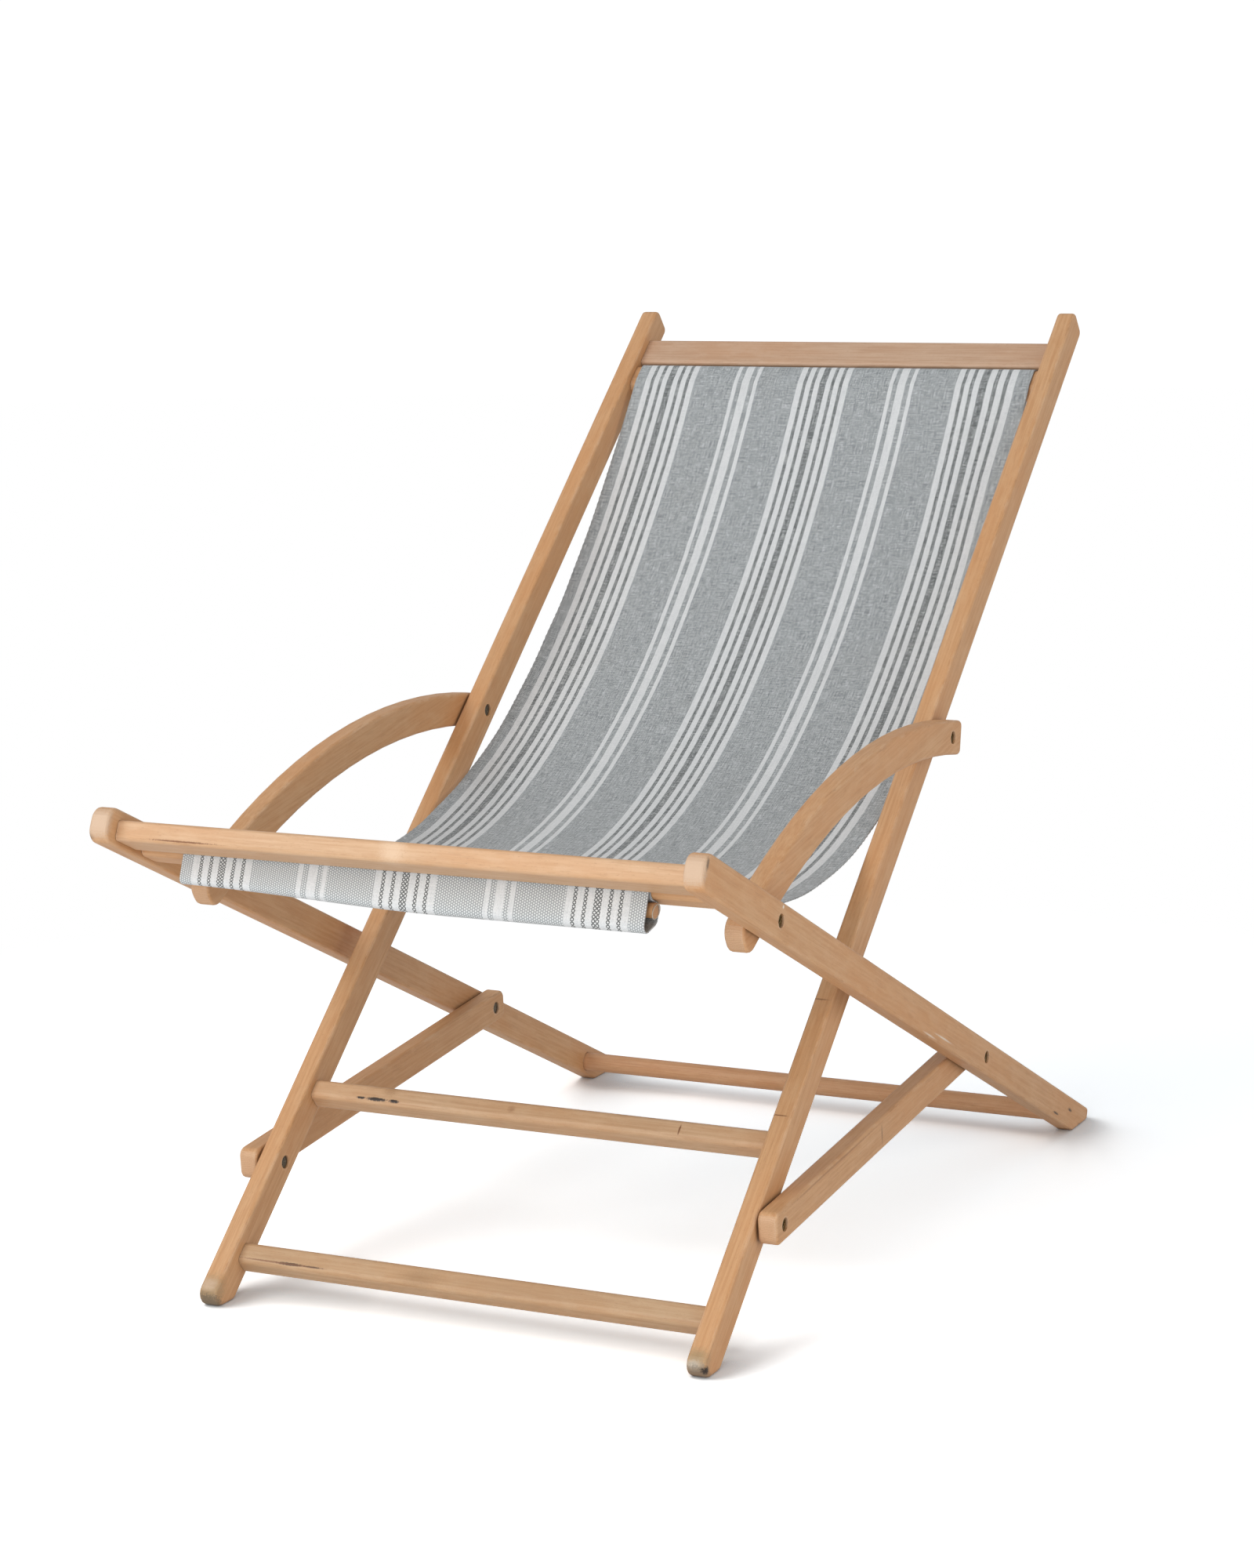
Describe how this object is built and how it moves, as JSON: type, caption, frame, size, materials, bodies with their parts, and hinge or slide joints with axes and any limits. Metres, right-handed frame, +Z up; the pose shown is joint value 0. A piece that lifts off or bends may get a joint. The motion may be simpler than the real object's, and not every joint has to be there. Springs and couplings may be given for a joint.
{
  "type": "folding deck chair",
  "caption": "Folding reclining deck chair with curved arms, crossed wooden side frames and a striped fabric sling that hangs between bars on held dowels.",
  "frame": {"origin": "on the ground under the middle of the open chair, centre of the bounding box in X and Y", "axes": "+Z up, -Y the way the sitter faces, +X to the sitter's left"},
  "size_m": [0.58, 1.0748, 0.853],
  "materials": {
    "wood": "worn clear varnish on pale beech",
    "canvas": "woven grey and white stripes",
    "brass": "dull, slightly tarnished",
    "washer": "matt"
  },
  "bodies": {
    "back_frame": {"back_rail_left": "wood", "back_rail_right": "wood", "head_rail": "wood", "back_sling_bar": "wood", "upper_stretcher": "wood", "lower_stretcher": "wood", "sling": "canvas", "sling_dowel_top": "wood", "upper_sleeve_nut_left": "brass", "upper_sleeve_nut_right": "brass", "lower_sleeve_nut_left": "brass", "lower_sleeve_nut_right": "brass", "upper_washer_left": "washer", "upper_washer_right": "washer", "lower_washer_left": "washer", "lower_washer_right": "washer"},
    "arms": {"arm_left": "wood", "arm_right": "wood", "upper_pivot_bolt_left": "brass", "upper_pivot_bolt_right": "brass", "front_sleeve_nut_left": "brass", "front_sleeve_nut_right": "brass", "front_washer_left": "washer", "front_washer_right": "washer"},
    "seat_frame": {"seat_rail_left": "wood", "seat_rail_right": "wood", "front_rail": "wood", "front_sling_bar": "wood", "rear_rod": "wood", "sling_dowel_front": "wood", "front_pivot_bolt_left": "brass", "front_pivot_bolt_right": "brass", "rear_pivot_bolt_left": "brass", "rear_pivot_bolt_right": "brass"},
    "links": {"lower_link_left": "wood", "lower_link_right": "wood", "lower_pivot_bolt_left": "brass", "lower_pivot_bolt_right": "brass", "rear_sleeve_nut_left": "brass", "rear_sleeve_nut_right": "brass", "rear_washer_left": "washer", "rear_washer_right": "washer"}
  },
  "joints": [
    {"name": "fold", "type": "hinge", "parent": "back_frame", "child": "arms", "pos_m": [0, 0.09428, 0.46721], "axis": [-1, 0, 0], "range_deg": [0, 142], "deforming": ["sling"]},
    {"name": "seat_hinge", "type": "hinge", "parent": "arms", "child": "seat_frame", "pos_m": [0, -0.37843, 0.38383], "axis": [1, 0, 0], "range_deg": [0, 34.2]},
    {"name": "link_hinge", "type": "hinge", "parent": "back_frame", "child": "links", "pos_m": [0, -0.3256, 0.1035], "axis": [1, 0, 0], "range_deg": [0, 35.2]}
  ],
  "couplings": [
    {"joint": "seat_hinge", "follows": "fold", "ratio": 0.24082},
    {"joint": "link_hinge", "follows": "fold", "ratio": 0.24769}
  ]
}
